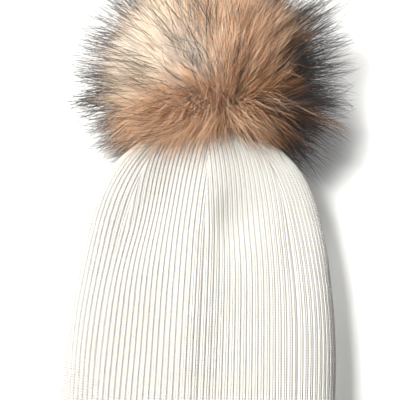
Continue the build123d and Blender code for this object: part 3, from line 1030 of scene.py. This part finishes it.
def hairs_of(paths, each, spread, gather, wander, short):
    """Hairs of locks, each hairs to a lock: a hair follows its lock's line at its own distance, which
    widens with the ball and then gathers to the tip, strays by wander, and ends short of the lock."""
    locks, steps, _ = paths.shape
    owner = np.repeat(np.arange(locks), each)
    reach = 1 - short * dice.random(len(owner)) ** 1.5
    shares = np.array([0.0, 0.28, 0.55, 0.8, 1.0])
    offset = dice.normal(0, spread, (len(owner), 3))
    stray = dice.normal(0, wander, (len(owner), 3))
    bend = dice.normal(0, wander * 0.6, (len(owner), 3))
    points = []
    for share in shares:
        at = share * reach * (steps - 1)
        low = np.minimum(at.astype(int), steps - 2)
        part = (at - low)[:, None]
        place = paths[owner, low] * (1 - part) + paths[owner, low + 1] * part
        width = (1 + 1.4 * share) * (1 - gather * share**2)
        points.append(held_in(place + offset * width + stray * share**1.5 + bend * math.sin(math.pi * share)))
    return np.stack(points, 1), owner


def hair_mesh(name, points, thickness, taper, tones, made_of):
    """Three-sided tapered tubes along all hairs at once, closed by a face at the root and by a point
    at the tip. points is (hairs, 5, 3); the strand map holds a hair's tone and the share along it."""
    hairs, rings, _ = points.shape
    along = unit(np.gradient(points, axis=1))
    side = unit(np.cross(along, unit(dice.normal(0, 1, (hairs, 1, 3)))))
    other = np.cross(along, side)
    corner = np.array([0, 2 * math.pi / 3, 4 * math.pi / 3])
    radius = (thickness[:, None] * np.asarray(taper))[:, :-1, None, None]
    rim = side[:, :-1, None] * np.cos(corner)[:, None] + other[:, :-1, None] * np.sin(corner)[:, None]
    tube = points[:, :-1, None] + rim * radius
    tip = (rings - 1) * 3
    vertices = np.concatenate([tube.reshape(hairs, tip, 3), points[:, -1:]], 1)
    ring, step = (a.ravel() for a in np.meshgrid(np.arange(0, tip - 3, 3), np.arange(3), indexing="ij"))
    after = (step + 1) % 3
    sides = np.stack([ring + step, ring + after, ring + 3 + after, ring + 3 + step], 1)
    step = np.arange(3)
    point = np.stack([tip - 3 + step, tip - 3 + (step + 1) % 3, np.full(3, tip), np.full(3, tip)], 1)
    pattern = np.concatenate([sides, point, [[2, 1, 0, 0]]])
    faces = (np.arange(hairs)[:, None, None] * (tip + 1) + pattern).reshape(-1, 4)
    share = np.append(np.repeat(np.linspace(0, 1, rings)[:-1], 3), 1.0)
    u = np.repeat(np.clip(tones, 0.004, 0.996), len(pattern) * 4).reshape(-1, 4)
    # The four corners of a hair's face spread a little across the map, so that no face is a line there
    u = u + np.array([-0.002, 0.002, 0.002, -0.002])
    v = np.tile(share[pattern], (hairs, 1)) * 0.98 + 0.01
    make_piece(name, vertices, faces, made_of, (), {"OFBake": np.stack([u, v], -1)})


def hair_piece(name, paths, dyes, made_of, each, spread, gather, wander, short, mottle, width,
               taper=(0.8, 1.0, 0.9, 0.6, 0.0), lock_mottle=0.0):
    """Locks as one piece, with each hairs to a lock. A hair takes its lock's dye, give or take mottle,
    and its radius, times its taper, lies between the two of width. lock_mottle darkens whole locks."""
    points, owner = hairs_of(paths, each, spread, gather, wander, short)
    if lock_mottle:
        dyes = dyes + lock_mottle * dice.random(len(paths))
    tones = dyes[owner] + dice.normal(0, mottle, len(owner))
    thickness = dice.uniform(*width, len(owner))
    hair_mesh(name, points, thickness, taper, tones, made_of)


def tones_of(paths):
    """Dye of each lock, from where its middle lies on a ball of 62 mm radius round the pom's centre, in
    millimetres to the right and up: bells of lighter and darker fur over a tan ground, most of them
    in front only. Luck turns single locks grey, pale or dark where such fur grows."""
    x, y, z = 62.0 * unit(paths[:, 7] - pelt_centre).T
    front = smooth(-y, -20, 15)
    luck = dice.random((4, len(paths)))
    tone = 0.41 + dice.normal(0, 0.035, len(paths))
    tone -= front * 0.20 * bell(x, -42, 34) * bell(z, 28, 36)
    tone -= front * 0.14 * bell(x, -56, 22) * bell(z, -8, 32)
    tone += front * 0.27 * bell(x, -20, 34) * bell(z, -30, 17)
    tone += front * 0.11 * bell(x, 38, 30) * bell(z, -4, 44)
    tone += 0.20 * bell(x, 66, 18) * bell(z, -14, 44)
    tone += front * 0.50 * bell(x, 44, 15) * bell(z, -33, 16)
    grey = front * 0.85 * bell(x, -17, 17) * bell(z, 11, 17)
    tone = np.where(luck[0] < grey, 0.02 + 0.10 * luck[3], tone)
    pale = front * smooth(-z, 36, 46) * (1 - smooth(x, 22, 36))
    tone = np.where(luck[1] < pale, 0.15 + 0.08 * luck[3], tone)
    dark = 3.0 * bell(x, 65, 10) * (bell(z, 33, 12) + bell(z, 12, 9))
    dark += 2.2 * bell(x, 47, 12) * bell(z, -37, 11)
    dark += 0.6 * bell(x, 44, 14) * bell(z, 56, 10) + 0.5 * bell(x, -32, 14) * bell(z, 60, 9)
    return np.where(luck[2] < dark, 0.86 + 0.1 * luck[3], tone)


gores = 6


def coat(locks, length, droop, comb):
    """Locks over the whole pelt but its mouth: their ways out, middle lines, dyes and gores round the
    snap's axis."""
    ways = even_ways(locks)
    ways = unit(ways + dice.normal(0, 0.02, ways.shape))
    ways = ways[ways @ -snap_axis < math.cos(math.radians(22))]
    lengths = length * (1 + dice.normal(0, 0.07, len(ways)))
    paths = lock_paths(ways, lengths, comb, droop)
    turn = np.arctan2(ways @ snap_back, ways @ snap_right)
    return ways, paths, tones_of(paths), ((turn / (2 * math.pi) + 0.5) * gores).astype(int) % gores


def tuft(middle, opening, locks, length, droop, comb):
    """Locks in a round patch of the pelt, spread in degrees about its middle way."""
    ways = unit(unit(np.array(middle)) + dice.normal(0, math.radians(opening), (locks, 3)))
    lengths = length * (1 + dice.normal(0, 0.10, locks))
    return lock_paths(ways, lengths, comb, droop)


_, paths, dyes, in_gore = coat(2900, length=0.051, droop=0.15, comb=0.95)
for gore in range(gores):
    chosen = in_gore == gore
    hair_piece(f"underfur_gore_{gore + 1}", paths[chosen], dyes[chosen], underfur, each=14, spread=0.00085,
               gather=0.55, wander=0.0030, short=0.30, mottle=0.045, width=(0.00013, 0.00021))
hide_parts("pom_fur")

# Guard hair stands past the underfur, and is sparse in front
ways, paths, dyes, in_gore = coat(1650, length=0.090, droop=0.12, comb=0.80)
kept = dice.random(len(ways)) < 1 - 0.82 * smooth(ways @ front_way, 0.10, 0.55)
for gore in range(gores):
    chosen = (in_gore == gore) & kept
    hair_piece(f"guard_hair_gore_{gore + 1}", paths[chosen], dyes[chosen] + 0.06, guard_hair, each=9,
               spread=0.0012, gather=0.72, wander=0.0045, short=0.48, mottle=0.04, width=(0.00010, 0.00017),
               taper=(0.7, 0.9, 1.0, 0.8, 0.0))

# A fringe that hangs over the crown, fuller in front and browner on the right
fringe = [
    tuft((0.06, -0.62, -0.78), 18, locks=300, length=0.056, droop=1.2, comb=0.5),
    tuft((-0.55, -0.50, -0.70), 13, locks=150, length=0.064, droop=0.95, comb=0.35),
    tuft((0.60, -0.45, -0.70), 12, locks=100, length=0.058, droop=1.0, comb=0.35),
]
dyes = np.repeat([0.40, 0.40, 0.56], [len(locks) for locks in fringe])
hair_piece("fringe_hair", np.concatenate(fringe), dyes, underfur, each=10, spread=0.0016, gather=0.0,
           wander=0.0058, short=0.55, mottle=0.04, width=(0.00009, 0.00015), lock_mottle=0.16)

# Dark locks low on the right, one long rusty lock, and single dark hairs strayed over the front
paths = np.concatenate([
    tuft((0.78, -0.10, -0.62), 9, locks=64, length=0.080, droop=0.40, comb=0.3),
    tuft((0.96, -0.08, -0.26), 8, locks=30, length=0.082, droop=0.25, comb=0.3),
])
hair_piece("dark_lock_hair", paths, np.full(len(paths), 0.82), guard_hair, each=13, spread=0.0012,
           gather=0.85, wander=0.0030, short=0.40, mottle=0.05, width=(0.00012, 0.00018))
paths = tuft((0.95, -0.14, -0.26), 3.5, locks=5, length=0.080, droop=0.20, comb=0.1)
hair_piece("rusty_lock_hair", paths, np.full(len(paths), 0.68), underfur, each=22, spread=0.0010,
           gather=0.75, wander=0.0025, short=0.25, mottle=0.05, width=(0.00012, 0.00018))
paths = tuft((-0.22, -0.92, 0.02), 30, locks=260, length=0.066, droop=0.3, comb=0.9)
hair_piece("stray_hair", paths, np.full(len(paths), 0.95), guard_hair, each=1, spread=0.0006,
           gather=0.0, wander=0.0100, short=0.30, mottle=0.02, width=(0.00016, 0.00024),
           taper=(0.8, 1.0, 0.9, 0.7, 0.0))

metals = {"snap_stud": nickel, "snap_eyelet": nickel, "snap_socket": nickel, "socket_rivet": nickel,
          "snap_spring": spring_steel}
for node, metal in metals.items():
    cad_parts[node].data.materials.clear()
    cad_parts[node].data.materials.append(metal)
